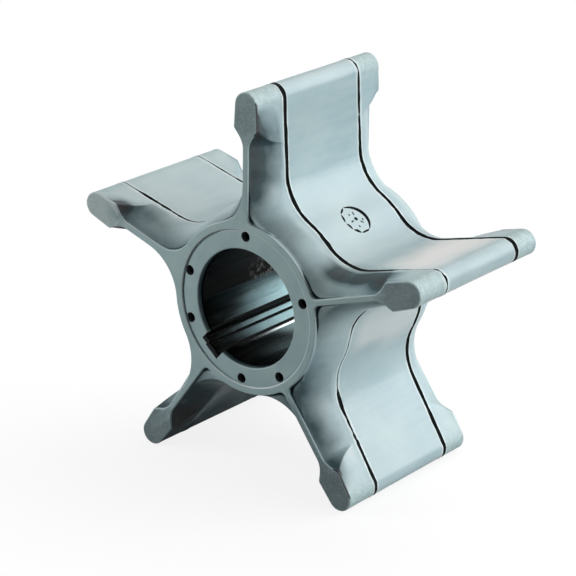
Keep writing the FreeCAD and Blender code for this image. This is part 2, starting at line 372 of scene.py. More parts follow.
def start_chain(name, count):
    bpy.ops.mesh.primitive_circle_add(vertices=count, radius=hub_radius * MM)
    chain = bpy.context.object
    chain.name = name
    bpy.ops.object.mode_set(mode="EDIT")
    bpy.ops.mesh.select_mode(type="EDGE")
    mesh = bmesh.from_edit_mesh(chain.data)
    number = mesh.verts.layers.int.new("number")
    mesh.verts.layers.int.new("line_row")
    mesh.verts.layers.int.new("row")
    mesh.verts.layers.float.new(depth_name)
    mesh.verts.layers.float.new(highlight_name)
    for k, vert in enumerate(mesh.verts):
        vert[number] = k
    for edge in mesh.edges:
        edge.select_set({vert[number] for vert in edge.verts} == {0, count - 1})
    bmesh.update_edit_mesh(chain.data)
    bpy.ops.mesh.delete(type="EDGE")
    bpy.ops.mesh.select_mode(type="VERT")
    bpy.ops.mesh.select_all(action="SELECT")
    return chain


def lay_row(chain, places, line_row=0, depths=None, row=0):
    """Moves the selected row of points to its places and marks it."""
    mesh = bmesh.from_edit_mesh(chain.data)
    number = mesh.verts.layers.int["number"]
    line_layer = mesh.verts.layers.int["line_row"]
    row_layer = mesh.verts.layers.int["row"]
    depth_layer = mesh.verts.layers.float[depth_name]
    for vert in mesh.verts:
        if vert.select:
            vert.co = places[vert[number]]
            vert[row_layer] = row
            vert[line_layer] = line_row
            vert[depth_layer] = depths[vert[number]] if depths else 0.0
    bmesh.update_edit_mesh(chain.data)


def next_row(chain, places, line_row=0, depths=None, row=0):
    bpy.ops.mesh.extrude_region_move()
    lay_row(chain, places, line_row, depths, row)


# %% [markdown]
# The painted shade follows how deep a point lies in a scoop, so each row carries its depths.

# %% One vane's shell
def scoop_depths(kind, down, points):
    """How far each point lies under the full outline, as a share of the deepest scoop. It sets
    the painted shade: a crease and the notch under the bulb count for more, and the flat land
    for nothing."""
    if kind == "land" and not isinstance(down, list) and down < land_height:
        return [0.0] * len(points)
    depths = []
    notch = points[notch_number][0]
    for k, ((r, t), (full_r, full_t)) in enumerate(zip(points, full)):
        depth = min(1.0, math.dist((r, t), (full_r, full_t)) / (root_half - web_half))
        sunk = (down[k] - land_height) / crease_depth if isinstance(down, list) else 0.0
        near_notch = max(0.0, 1 - abs(notch - r) / notch_reach)
        if notch_number < k < around - 1 - notch_number:
            near_notch = 0.0
        depth += notch_shade * near_notch * min(1.0, 4 * depth)
        depths.append(max(depth, crease_shade * sunk))
    return depths


def row_places(row, face_y, inward):
    _, down, points = row
    downs = down if isinstance(down, list) else [down] * len(points)
    return [place(r, t, face_y + inward * d) for (r, t), d in zip(points, downs)]


def vane_shell():
    """One fifth of the outside, from the near face to the far one."""
    chain = start_chain("vane", around)
    rows = []
    line_count = 0
    for row in near_rows + middle_rows:
        line_count += row[0] == "line"
        rows.append((row_places(row, -half_width, 1), row, line_count))
    line_count = 2 * len(LINE_PROFILE) + 1
    for row in reversed(far_rows):
        line_count -= row[0] == "line"
        rows.append((row_places(row, half_width, -1), row, line_count))
    for k, (places, row, line_row) in enumerate(rows):
        step = lay_row if k == 0 else next_row
        depths = scoop_depths(*row) if row[0] in ("scoop", "land") else None
        # The far end gets less painted shade.
        if depths and k > len(near_rows):
            depths = [far_shade_share * depth for depth in depths]
        step(chain, places, line_row if row[0] == "line" else 0, depths, k + 1)
    bpy.ops.object.mode_set(mode="OBJECT")
    return chain


row_count = len(near_rows) + len(middle_rows) + len(far_rows)
shell = vane_shell()
print("faces in one vane's shell", len(shell.data.polygons))

# %% [markdown]
# The inside is a turned shape: the shallow recess in the face, the lip over the end of the
# bush, and the seat of the bush. It is extruded in the same way, one fifth of it, with points
# on an arc. The flat face is then filled between the two chains.

# %% The inside and the flat faces of one fifth
ARC_STEPS = 36
rim_round = 0.2
foot_depth = 0.12
foot_width = 0.3
# A painted highlight on the recess's rim.
rim_highlight = 0.7
# Painted shade on the rim's rounding, in the foot groove and down the lip to the bush.
rim_shade = 0.3
lip_shade = 1.2
lip_end_shade = 1.6


def inside_rows():
    """(radius, y, painted_shade) from the near face to the far one."""
    near = [(recess_radius + rim_round * back, rim_round * down, rim_shade * k / EDGE_STEPS)
            for k, (back, down) in enumerate(QUARTER_ROUND)]
    near.append((recess_radius, recess_depth + foot_depth, 1.0))
    near.append((recess_radius - 0.6 * foot_width, recess_depth + foot_depth, 1.0))
    near.append((recess_radius - foot_width, recess_depth, 0.0))
    near += [(lip_radius + rim_round * back, recess_depth + rim_round * down,
              lip_shade * k / EDGE_STEPS) for k, (back, down) in enumerate(QUARTER_ROUND)]
    near.append((lip_radius, bush_cover, lip_end_shade))
    near.append((bush_radius, bush_cover, 1.0))
    rows = [(radius, down - half_width, painted_shade) for radius, down, painted_shade in near]
    return rows + [(radius, -y, painted_shade) for radius, y, painted_shade in reversed(rows)]


def inside_shell():
    chain = start_chain("inside", ARC_STEPS + 1)
    angles = [half_gap * (2 * k / ARC_STEPS - 1) for k in range(ARC_STEPS + 1)]
    for k, (radius, y, painted_shade) in enumerate(inside_rows()):
        places = [place(radius * math.cos(a), radius * math.sin(a), y) for a in angles]
        step = lay_row if k == 0 else next_row
        step(chain, places, depths=[painted_shade] * len(angles))
    bpy.ops.object.mode_set(mode="OBJECT")
    return chain


def select(objects):
    """Selects these objects alone, with the first one active."""
    bpy.ops.object.select_all(action="DESELECT")
    for obj in objects:
        obj.select_set(True)
    bpy.context.view_layer.objects.active = objects[0]


def join(objects, name):
    select(objects)
    bpy.ops.object.join()
    objects[0].name = name
    return objects[0]


def leave_sound(merge=0.0, shortest=0.0):
    """Leaves edit mode with near points merged and the faces turned outwards."""
    bpy.ops.mesh.select_all(action="SELECT")
    if merge:
        bpy.ops.mesh.remove_doubles(threshold=merge * MM)
    if shortest:
        bpy.ops.mesh.dissolve_degenerate(threshold=shortest * MM)
    bpy.ops.mesh.normals_make_consistent(inside=False)
    bpy.ops.object.mode_set(mode="OBJECT")


def pick(obj, wanted):
    """In edit mode, selects the points whose place passes the test, and nothing else."""
    bpy.ops.mesh.select_all(action="DESELECT")
    mesh = bmesh.from_edit_mesh(obj.data)
    for vert in mesh.verts:
        vert.select_set(wanted(vert.co / MM))
    mesh.select_flush_mode()
    bmesh.update_edit_mesh(obj.data)


def fill_flat_face(obj, face_y):
    tiny = 1e-4

    def at_side(side):
        def test(p):
            turn = math.atan2(-p.x, p.z) * side
            return abs(p.y - face_y) < tiny and abs(turn - half_gap) < tiny
        return test

    for side in (-1, 1):
        pick(obj, at_side(side))
        bpy.ops.mesh.edge_face_add()
    pick(obj, lambda p: abs(p.y - face_y) < tiny)
    bpy.ops.mesh.edge_face_add()


fifth = join([shell, inside_shell()], "fifth")
bpy.ops.object.mode_set(mode="EDIT")
for face_y in (-half_width, half_width):
    fill_flat_face(fifth, face_y)
bpy.ops.object.mode_set(mode="OBJECT")
print("faces in one fifth", len(fifth.data.polygons))

# %% [markdown]
# The fifth is copied round the bore. No two vanes of a moulding are quite alike: the burr
# has closed the mould line in some places and left it open in others, some webs run into the
# ring in a smooth fillet, and the rubber has shrunk by a few hundredths of a millimetre more
# here than there. Painted shade and painted light lie unevenly on it too, and the bulbs' ends
# differ in tone. The tables say where. What they say is spread by a noise that is read at the
# point's final place, so that neighbouring copies still meet.

# %% What differs from vane to vane
# Places where the burr nearly closes a mould line: far line or not, angle from +X towards +Z
# in degrees, radial place, reach and how much is closed. With a minus the line is wider.
CLOSED_PLACES = [
    (False, -22.0, 15.5, 6.5, 1.2),
    (False, -36.0, 16.0, 3.0, 0.8),
    (False, 10.0, 25.0, 6.0, 1.0),
    (False, 22.0, 28.2, 4.0, 1.0),
    (False, 25.0, 20.5, 4.5, -0.8),
    (False, 18.0, 32.5, 4.5, 0.75),
    (False, -49.0, 22.5, 3.0, 0.55),
    (False, -50.0, 29.0, 6.0, 0.25),
    (True, 84.0, 26.0, 4.0, 0.45),
    (True, 90.0, 31.5, 4.5, 0.55),
    (True, 23.0, 24.0, 11.0, -0.6),
    (False, 160.0, 31.5, 5.0, 0.85),
    (False, 157.0, 20.5, 6.0, 0.55),
    (True, 163.0, 28.5, 7.0, 1.3),
    (True, 159.0, 20.0, 5.0, 0.9),
    (False, -120.5, 22.0, 9.0, 2.0),
    (False, -121.5, 30.0, 7.0, 2.0),
]
# Places of painted shade: angle, radial, across, reach, from and to how far from the near
# face, and how dark. A place with a minus is painted light, paler than the rest. A place that
# ends before the mould line lies in the scoop alone.
PAINTED_SHADE_PLACES = [
    (90.0, 25.6, -1.6, 6.5, 0.0, 7.5, 0.8),
    (90.0, 20.3, -0.8, 4.3, 0.0, 7.5, 0.78),
    (90.0, 26.8, -1.2, 3.0, 0.0, 5.5, 0.95),
    (90.0, 28.0, -2.0, 8.0, 6.0, 25.0, 0.24),
    (54.0, 15.0, 0.0, 6.5, 0.0, 5.5, 0.52),
    (18.0, 17.0, 3.4, 4.2, 1.5, 7.9, 1.4),
    (18.0, 20.8, 2.6, 4.4, 1.5, 7.9, 1.5),
    (18.0, 20.5, 2.8, 5.5, 5.0, 8.0, 1.4),
    (18.0, 12.7, 6.8, 3.5, 0.6, 5.0, -0.5),
    (18.0, 24.2, 2.4, 3.6, 0.8, 7.9, 1.3),
    (18.0, 20.0, 2.2, 4.5, 0.0, 2.8, -0.4),
    (18.0, 25.5, 2.2, 7.0, 6.0, 25.0, -0.9),
    (18.0, 33.2, 0.4, 3.4, 6.0, 26.0, 0.27),
    (18.0, 12.6, -8.2, 5.2, 8.0, 25.0, -0.32),
    (-54.0, 13.3, 6.9, 2.0, 9.0, 16.0, 0.25),
    (-54.0, 15.5, 3.6, 4.8, 0.0, 7.9, 0.6),
    (-54.0, 21.0, 2.2, 6.0, 0.0, 3.4, 0.46),
    (-54.0, 25.6, 2.0, 2.4, 1.0, 5.5, -0.4),
    (-54.0, 22.6, 1.0, 3.0, 0.0, 3.0, 0.5),
    (162.0, 27.0, -2.0, 1.7, 0.0, 3.2, 0.9),
    (162.0, 22.0, -2.2, 4.5, 1.5, 7.5, 0.55),
    (198.0, 14.5, 0.0, 8.0, 0.0, 7.9, -0.5),
    (-126.0, 21.3, 4.5, 5.2, 0.0, 7.5, 1.7),
    (-126.0, 25.5, 4.5, 6.0, 0.0, 7.5, 1.7),
    (-126.0, 26.8, 2.4, 3.5, 0.0, 7.9, 2.2),
    (-126.0, 31.0, 4.5, 6.0, 0.0, 7.5, 1.7),
    (-126.0, 33.0, 4.5, 7.5, 0.0, 40.0, 1.8),
    (-126.0, 27.5, 4.5, 7.0, 6.0, 40.0, 1.6),
    (-126.0, 22.0, 4.5, 5.0, 6.0, 40.0, 0.5),
]
# Places where the crease between web and ring is filled: angle, radial, reach, how much.
FILLED_PLACES = [
    (75.0, 13.8, 3.0, 1.2),
    (21.0, 17.5, 3.2, 0.9),
    (15.0, 17.5, 3.2, 0.8),
    (-39.0, 13.8, 2.6, 0.5),
    (-108.0, 13.8, 3.6, 1.2),
]
# Copy by copy, from the top vane round past the left one: how much darker the near end of
# its bulb is, with a minus for paler; how much painted shade darkens the edge of its web; how
# far the web runs into the ring in one smooth fillet on the side before and the side after;
# and the side on which a painted shade line runs along the bulb's edge, 0 for none.
BULB_TINTS = [0.04, -0.35, 0.3, 0.34, 0.16]
WEB_EDGE_SHADES = [0.16, 0.0, 0.0, 0.5, 0.12]
FILLETED_SIDES = [(0, 0.75), (0.75, 1), (1, 0), (0, 0), (0, 0)]
SHADE_LINED_SIDES = [-1, 0, 0, 1, 0]


# %% [markdown]
# Each table is read in the same way: a place counts fully at its middle and no more at its
# reach. Places that overlap add up for the mould lines; for painted shade and painted light
# the strongest one of each counts.

# %% How closed, shaded or filled a place is
widest = 0.15
most_closed = 0.97
scoop_end = 8.0
scoop_start_depth = 0.05
shade_fade = 1.5


def away_from(spot, angle, radial, across=0.0):
    """How far a spot is, seen along the bore, from a place given by a vane's measures."""
    c = math.cos(math.radians(angle))
    s = math.sin(math.radians(angle))
    return math.hypot(spot.x - radial * c + across * s, spot.z - radial * s - across * c)


def closed_share(spot, far):
    """0 where the mould line is fully open, towards 1 where the burr closes it."""
    ripple = noise.noise(spot * 0.35 + Vector((0, 40 if far else 0, 0)))
    fine = noise.noise(spot * 1.3 + Vector((7, 0, 0)))
    share = 0.16 + 0.3 * ripple
    for on_far, angle, radial, reach, amount in CLOSED_PLACES:
        if on_far == far:
            near = max(0.0, 1 - (away_from(spot, angle, radial) / reach) ** 2)
            share += amount * near * (1 + 0.9 * fine)
    return min(most_closed, max(-widest, share))


def painted_shade_at(spot, depth):
    """How much painted shade, or with a minus painted light, lies at a place in millimetres."""
    in_scoop = min(1.0, depth / scoop_start_depth)
    uneven = 1 + 0.5 * noise.noise(spot * 0.4)
    down = spot.y + half_width
    amounts = [0.0]
    for angle, radial, across, reach, start, end, amount in PAINTED_SHADE_PLACES:
        away = away_from(spot, angle, radial, across) / reach
        to_end = min(1.0, max(0.0, (end - down) / shade_fade))
        from_start = min(1.0, max(0.0, (down - start) / shade_fade)) if start else 1.0
        amount *= max(0.0, 1 - away ** 2 * uneven) * min(to_end, from_start)
        amounts.append(amount * in_scoop if end < scoop_end else amount)
    return max(amounts) + min(amounts)


def filled_share(spot):
    """1 where the crease between web and ring is filled, 0 where it is open."""
    shares = [amount * (1 - (away_from(spot, angle, radial) / reach) ** 2)
              for angle, radial, reach, amount in FILLED_PLACES]
    return min(1.0, max(0.0, *shares))


# %% [markdown]
# Every point of a copy is taken in hand once. Its row tells what it belongs to: the rounded
# edge of the land, the crease beside it, the scoop, a mould line or, with no row, the recess.

# %% The land, the creases and the recess
full_normals = [Vector((a[0] - b[0], a[1] - b[1])) for a, b in zip(grown(full, same(1.0)), full)]
fillet_rows = land_rows(filleted=True)
land_row_count = len(fillet_rows)
tip_number = around // 2
web_start = ring_radius + 1.5
bulb_end_start = 26.5
lined_start = bulb_inner_radius - 0.8
lined_end = tip_radius - 1.2
# A painted shade line along one edge of a bulb.
lined_shade = 2.4
# A painted highlight along the corner under the bulb.
corner_highlight = 0.7
ragged = 0.12
shrink = 0.05
shrink_scale = 9.0
# Rows are numbered from 1 at the near face.
EDGE_ROWS = range(1, EDGE_STEPS + 2)
LINED_ROWS = range(EDGE_STEPS - 1, EDGE_STEPS + 3)
CREASE_ROWS = range(EDGE_STEPS + 3, EDGE_STEPS + 6)
SCOOP_ROWS = range(land_row_count + 1, land_row_count + SCOOP_STEPS)


def filleted_place(number, row):
    """Where a point of the land goes on a filleted side, and its depth, or nothing."""
    near = row <= land_row_count
    if not near and row <= row_count - land_row_count:
        return None
    down, points = fillet_rows[row - 1 if near else row_count - row]
    depths = scoop_depths("land", down, points)
    down = down[number] if isinstance(down, list) else down
    r, t = points[number]
    return place(r, t, down - half_width if near else half_width - down), depths[number]


def fillet_land(vert, marks, side, filleted):
    """Moves a point of the land by a share towards its place on a filleted side."""
    share = filleted[side > 0]
    row = vert[marks.row]
    moved = filleted_place(vert[marks.number], row) if row and side and share else None
    if moved:
        vert.co = vert.co.lerp(moved[0], share)
        vert[marks.depth] = blend(vert[marks.depth], moved[1], share)


def fill_crease(vert, marks, turn):
    sunk = half_width - land_height - abs(vert.co.y) / MM
    if vert[marks.row] in CREASE_ROWS and sunk > 0:
        filled = filled_share(turn @ vert.co / MM)
        vert.co.y *= 1 + filled * sunk * MM / abs(vert.co.y)
        vert[marks.depth] *= 1 - filled


def tint_land(vert, marks, side, edge_tones, lined):
    """Darkens the web's edge with painted shade, makes the bulb's end darker or paler, and paints
    a shade line along one edge of the bulb.
    """
    radial = vert.co.z / MM
    if vert[marks.row] in EDGE_ROWS and radial > web_start:
        vert[marks.depth] = edge_tones[radial > bulb_end_start]
    if lined and side == lined and vert[marks.row] in LINED_ROWS:
        if lined_start < radial < lined_end:
            vert[marks.depth] = lined_shade


def shape_recess(vert, marks, turn):
    """Paints a highlight on the recess's rim, and fills the groove at its foot towards one side.
    """
    if vert[marks.row]:
        return
    out = math.hypot(vert.co.x, vert.co.z) / MM - recess_radius
    sunk = half_width - recess_depth - abs(vert.co.y) / MM
    if 0 < out < rim_round and sunk < 0:
        vert[marks.burr] = rim_highlight
    if 0 < sunk < 1.5 * foot_depth and -foot_width < out < 0.01:
        open_share = 0.5 - 0.5 * (turn @ vert.co).xz.normalized().x
        vert.co.y *= 1 + (1 - open_share) * sunk * MM / abs(vert.co.y)
        vert[marks.depth] *= open_share


def highlight_corner(vert, marks):
    """A painted highlight along the corner under the bulb, weaker towards the mould line."""
    corner = min(vert[marks.number], around - 1 - vert[marks.number]) - notch_number
    if vert[marks.row] in SCOOP_ROWS and corner in (1, 2):
        down = vert.co.y / MM + half_width
        vert[marks.burr] = corner_highlight * (1 - down / line_near)


# %% [markdown]
# The points of a mould line are laid again from its profile, narrower where it is closed.
# Last, painted shade and painted light are added and the rubber is drawn in along its normals.

# %% The mould lines and the surface
def shape_line(vert, marks, turn):
    """Closes or widens the mould line here, and makes its edges ragged."""
    line_row = vert[marks.line_row]
    if not line_row:
        return
    far = line_row > len(LINE_PROFILE)
    along, growth = LINE_PROFILE[(line_row - 1) % len(LINE_PROFILE)]
    base = Vector(full[vert[marks.number]])
    spot = turn @ place(base.x, base.y, 0.0) / MM
    closed = closed_share(spot, far)
    # The burr rows get a painted highlight, weaker where the line is closed.
    vert[marks.burr] = max(0.0, growth / burr) * (1 - 0.6 * abs(closed))
    growth *= 1 - max(0.0, closed) if growth < 0 else min(1.0, 1 + closed / widest)
    if abs(along) < line_half + 0.1:
        along *= 1 - 0.8 * closed
        along += ragged * noise.noise(spot * 1.1 + Vector((0, 9 * along, 20 * far)))
    out = base + full_normals[vert[marks.number]] * growth
    y = half_width - line_far - along if far else line_near - half_width + along
    vert.co = place(out.x, out.y, y)


def shade_and_shrink(vert, marks, turn):
    spot = vert.co / MM
    radial = math.hypot(spot.x, spot.z)
    into = half_width - land_height - abs(spot.y)
    if radial > ring_radius and into > 0:
        # Painted shade and painted light from the table go into the depth.
        vert[marks.depth] += painted_shade_at(turn @ spot, vert[marks.depth])
    if radial > recess_radius + 1.0 and into > 0.05:
        amount = shrink * 0.5 * (1 + noise.noise(turn @ spot / shrink_scale))
        vert.co -= vert.normal * amount * MM


def shape_copy(obj, turn, filleted, edge_tones, lined):
    """Makes one copy of the fifth its own, and turns it to its place."""
    mesh = bmesh.new()
    mesh.from_mesh(obj.data)
    whole = mesh.verts.layers.int
    real = mesh.verts.layers.float
    marks = SimpleNamespace(number=whole["number"], line_row=whole["line_row"],
                            row=whole["row"], depth=real[depth_name], burr=real[highlight_name])
    for vert in mesh.verts:
        side = (vert[marks.number] > tip_number) - (vert[marks.number] < tip_number)
        fillet_land(vert, marks, side, filleted)
        fill_crease(vert, marks, turn)
        tint_land(vert, marks, side, edge_tones, lined)
        shape_recess(vert, marks, turn)
        highlight_corner(vert, marks)
        shape_line(vert, marks, turn)
        shade_and_shrink(vert, marks, turn)
    mesh.transform(turn)
    mesh.to_mesh(obj.data)
    mesh.free()


# %% [markdown]
# Now the copies are made, shaped and joined. Points that meet are merged, and every edge must
# then have two faces.

# %% Copy the fifth round the bore
bpy.ops.object.mode_set(mode="EDIT")
leave_sound(merge=0.002)
copies = []
for k in range(vane_count):
    copy = fifth.copy()
    copy.data = fifth.data.copy()
    bpy.context.collection.objects.link(copy)
    turn = Matrix.Rotation(-2 * half_gap * k, 4, "Y")
    edge_tones = (WEB_EDGE_SHADES[k], BULB_TINTS[k])
    shape_copy(copy, turn, FILLETED_SIDES[k], edge_tones, SHADE_LINED_SIDES[k])
    copies.append(copy)
bpy.data.objects.remove(fifth)
rubber = join(copies, "rubber_vanes")
bpy.ops.object.mode_set(mode="EDIT")
leave_sound(merge=0.004, shortest=0.001)


def open_edges(obj):
    mesh = bmesh.new()
    mesh.from_mesh(obj.data)
    count = sum(1 for edge in mesh.edges if len(edge.link_faces) != 2)
    mesh.free()
    return count


print("rubber faces", len(rubber.data.polygons), "open edges", open_edges(rubber))

# %% [markdown]
# Rubber is seldom one colour. This one is a pale blue-grey compound, moulded in a polished
# steel tool, so it is smooth and has a soft gloss. Painted shade darkens the scoops, painted
# light pales a few places, and painted highlights run along the burrs and some edges. The flat
# land was pressed against the tool's face plates and is a little greener and duller, and the
# ends of the bulbs, where the gate was, are rough and speckled. The grooves and holes are
# painted nearly black as shade.

# %% Colours and a way to add nodes
def srgb(code):
    """An sRGB hex colour as the linear values that Blender works in."""
    channels = [int(code[k:k + 2], 16) / 255 for k in (1, 3, 5)]
    linear = [c / 12.92 if c <= 0.04045 else ((c + 0.055) / 1.055) ** 2.4 for c in channels]
    return (*linear, 1.0)


def add(tree, kind, inputs=None, out=0, **settings):
    """Adds a node. Inputs are values or other nodes' outputs; gives back one of its outputs."""
    node = tree.nodes.new("ShaderNode" + kind)
    for name, value in settings.items():
        setattr(node, name, value)
    for key, value in (inputs or {}).items():
        if isinstance(value, bpy.types.NodeSocket):
            tree.links.new(value, node.inputs[key])
        else:
            node.inputs[key].default_value = value
    return node.outputs[out] if node.outputs else node


def new_material(name):
    """An empty material, its nodes, and the place on the surface in millimetres."""
    material = bpy.data.materials.new(name)
    material.use_nodes = True
    tree = material.node_tree
    tree.nodes.clear()
    spot = add(tree, "TexCoord", out="Object")
    return material, tree, add(tree, "Mapping", {"Vector": spot, "Scale": (1 / MM,) * 3})


def out_from_bore(tree, spot):
    flat = add(tree, "VectorMath", {0: spot, 1: (1, 0, 1)}, operation="MULTIPLY")
    return add(tree, "VectorMath", {0: flat}, "Value", operation="LENGTH")


def pattern(tree, spot, size, detail, low, high, to=(0.0, 1.0), roughness=0.5):
    """A noise of a size in millimetres. What lies from low to high spreads over to."""
    raw = add(tree, "TexNoise", {"Vector": spot, "Scale": 1 / size, "Detail": detail,
                                 "Roughness": roughness})
    return add(tree, "MapRange", {0: raw, 1: low, 2: high, 3: to[0], 4: to[1]})


def finished(tree, colour, roughness, reliefs, **look):
    """The shader of a surface. A relief is (height, strength, depth in millimetres)."""
    skin = {}
    for height, strength, deep in reliefs:
        skin["Normal"] = add(tree, "Bump", {"Height": height, "Strength": strength,
                                            "Distance": deep * MM, **skin})
    return add(tree, "BsdfPrincipled", {"Base Color": colour, "Roughness": roughness,
                                        **skin, **look})


# A Mix node that mixes colours has them on inputs 6 and 7, and gives its colour as output 2.
COLOUR = {"out": 2, "data_type": "RGBA"}

# %% [markdown]
# The moulded skin is mixed from the compound up. The depths that the points carry say where
# painted shade darkens it and, below 0, where painted light pales it; the burr marks say where
# a painted highlight lies.

# %% Moulded rubber
near_line_y = line_near - half_width
far_line_y = half_width - line_far


def moulded_rubber():
    material, tree, spot = new_material("moulded rubber")
    # Where on the moulding: along the bore, out from it, and how deep in a scoop.
    along = add(tree, "SeparateXYZ", {0: spot}, "Y")
    radial = out_from_bore(tree, spot)
    depth = add(tree, "Attribute", out="Fac", attribute_name=depth_name)
    burr_highlight = add(tree, "Attribute", out="Fac", attribute_name=highlight_name)
    # Clouds 11 mm across, streaks 1 mm wide where it left the tool, and flecks.
    cloud = pattern(tree, spot, 11.0, 3.0, 0.35, 0.65)
    drawn = add(tree, "Mapping", {"Vector": spot, "Scale": (1.0, 0.12, 1.0)})
    streak = pattern(tree, drawn, 1.1, 3.0, 0.35, 0.65)
    fleck = pattern(tree, spot, 0.7, 4.0, 0.35, 0.65, roughness=0.65)
    # The tips beyond the mould lines are rubbed and mottled.
    near_end = add(tree, "MapRange", {0: along, 1: near_line_y - 0.2, 2: near_line_y + 0.2,
                                      3: 1.0, 4: 0.0})
    far_end = add(tree, "MapRange", {0: along, 1: far_line_y - 0.2, 2: far_line_y + 0.2})
    tip = add(tree, "MapRange", {0: radial, 1: tip_radius - 3.5, 2: tip_radius - 1.0})
    rubbed = add(tree, "Math", {0: near_end, 1: far_end}, operation="MAXIMUM")
    rubbed = add(tree, "Math", {0: rubbed, 1: tip}, operation="MULTIPLY")
    # Painted shade lies in the scoops, less of it near the hub.
    smear = pattern(tree, spot, 5.0, 3.0, 0.3, 0.7, (0.8, 1.2))
    shade_lift = add(tree, "MapRange", {0: radial, 1: ring_radius, 2: hub_radius + 2.5, 3: 0.22,
                                   4: 0.0})
    painted_shade = add(tree, "Math", {0: depth, 1: smear}, operation="MULTIPLY")
    painted_shade = add(tree, "Math", {0: painted_shade, 1: shade_lift}, operation="SUBTRACT")
    shade_share = add(tree, "MapRange", {0: painted_shade, 1: 0.1, 2: 1.3})
    pale_share = add(tree, "MapRange", {0: depth, 1: -1.0, 2: 0.0, 3: 1.0, 4: 0.0})
    # Colour: the compound, streaked and mottled, then painted light, the burrs' painted highlight
    # and painted shade on it.
    colour = add(tree, "Mix", {0: cloud, 6: srgb("#869FA6"), 7: srgb("#96ABAE")}, **COLOUR)
    mottle = add(tree, "Mix", {0: fleck, 6: srgb("#778B8C"), 7: srgb("#A3B7B4")}, **COLOUR)
    # Where the painted shade is deepest it turns from teal to near black.
    deep = add(tree, "MapRange", {0: painted_shade, 1: 1.1, 2: 2.0})
    shade_colour = add(tree, "Mix", {0: deep, 6: srgb("#14363C"), 7: srgb("#090E10")}, **COLOUR)
    for share, most, over in ((streak, 0.25, srgb("#A9B8B8")), (rubbed, 0.45, mottle),
                              (pale_share, 1.0, srgb("#D5D4D2")), (burr_highlight, 0.8, srgb("#D2DDDD")),
                              (shade_share, 1.0, shade_colour)):
        share = add(tree, "Math", {0: share, 1: most}, operation="MULTIPLY")
        colour = add(tree, "Mix", {0: share, 6: colour, 7: over}, **COLOUR)
    # Gloss: soft on bare rubber, dull where painted shade lies and on rubbed tips.
    dull = add(tree, "Math", {0: rubbed, 1: 0.5}, operation="MULTIPLY")
    dull = add(tree, "Math", {0: dull, 1: shade_share}, operation="MAXIMUM")
    gloss = add(tree, "MapRange", {0: streak, 3: 0.3, 4: 0.4})
    roughness = add(tree, "Math", {0: dull, 1: 0.3, 2: gloss}, operation="MULTIPLY_ADD")
    # Relief: shallow waves, the streaks, and grit on the rubbed tips.
    wave = add(tree, "TexNoise", {"Vector": spot, "Scale": 1 / 3.2})
    grit = add(tree, "MapRange", {0: rubbed, 3: 0.25, 4: 1.0})
    grit = add(tree, "Math", {0: grit, 1: fleck}, operation="MULTIPLY")
    reliefs = [(wave, 0.35, 0.06), (streak, 0.2, 0.02), (grit, 0.5, 0.05)]
    shader = finished(tree, colour, roughness, reliefs, IOR=1.5)
    add(tree, "OutputMaterial", {"Surface": shader})
    return material


# %% [markdown]
# The land is smooth as far as the bulbs, whose ends are rough and speckled. The cuts are
# painted black as shade, with a little grey dust.

# %% Pressed land and cuts
def land_rubber():
    material, tree, spot = new_material("pressed rubber land")
    radial = out_from_bore(tree, spot)
    # The rough gate end of each bulb begins at an uneven edge.
    edge = pattern(tree, spot, 1.5, 2.0, 0.3, 0.7, (-1.2, 1.2))
    edge = add(tree, "Math", {0: edge, 1: radial}, operation="ADD")
    gate = add(tree, "MapRange", {0: edge, 1: 23.5, 2: 27.5})
    cloud = pattern(tree, spot, 4.0, 4.0, 0.35, 0.65)
    speck = pattern(tree, spot, 0.35, 4.0, 0.52, 0.66, (0.0, 0.45), roughness=0.7)
    colour = add(tree, "Mix", {0: cloud, 6: srgb("#8DA7A9"), 7: srgb("#99B1B2")}, **COLOUR)
    rough = add(tree, "Mix", {0: cloud, 6: srgb("#728589"), 7: srgb("#84979A")}, **COLOUR)
    rough = add(tree, "Mix", {0: speck, 6: rough, 7: srgb("#B2C0C1")}, **COLOUR)
    # Where the depth is over 0 it darkens the webs' edges with painted shade and darkens the
    # bulbs' ends; below 0 it pales them.
    foot = add(tree, "Attribute", out="Fac", attribute_name=depth_name)
    pale_share = add(tree, "MapRange", {0: foot, 1: -1.0, 2: 0.0, 3: 1.0, 4: 0.0})
    for share, over in ((gate, rough), (foot, srgb("#141D21")), (pale_share, srgb("#D3E2DD"))):
        colour = add(tree, "Mix", {0: share, 6: colour, 7: over}, **COLOUR)
    roughness = add(tree, "MapRange", {0: gate, 3: 0.48, 4: 0.8})
    wave = add(tree, "TexNoise", {"Vector": spot, "Scale": 1 / 1.4, "Detail": 3.0})
    pits = add(tree, "TexNoise", {"Vector": spot, "Scale": 1 / 0.4, "Detail": 5.0,
                                  "Roughness": 0.7})
    pits = add(tree, "Math", {0: pits, 1: gate}, operation="MULTIPLY")
    reliefs = [(wave, 0.3, 0.04), (pits, 0.8, 0.12)]
    shader = finished(tree, colour, roughness, reliefs, IOR=1.5)
    add(tree, "OutputMaterial", {"Surface": shader})
    return material


def shaded_cut_rubber():
    material, tree, spot = new_material("rubber in the cuts")
    dust = pattern(tree, spot, 0.7, 4.0, 0.35, 0.75)
    # Near black as painted shade inside the grooves, the holes and the mark.
    colour = add(tree, "Mix", {0: dust, 6: srgb("#0C1012"), 7: srgb("#1D2427")}, **COLOUR)
    roughness = add(tree, "MapRange", {0: dust, 3: 0.75, 4: 0.9})
    grit = add(tree, "TexNoise", {"Vector": spot, "Scale": 1 / 0.5, "Detail": 3.0})
    shader = finished(tree, colour, roughness, [(grit, 0.4, 0.04)], IOR=1.5)
    add(tree, "OutputMaterial", {"Surface": shader})
    return material


# %% [markdown]
# Land is what lies flat in an end face or in a recess. A mould line's groove gets the black
# painted shade of the cuts.

# %% Each face gets its finish
rubber_skin = moulded_rubber()
rubber_land = land_rubber()
rubber_cut_shade = shaded_cut_rubber()
for material in (rubber_skin, rubber_land, rubber_cut_shade):
    rubber.data.materials.append(material)

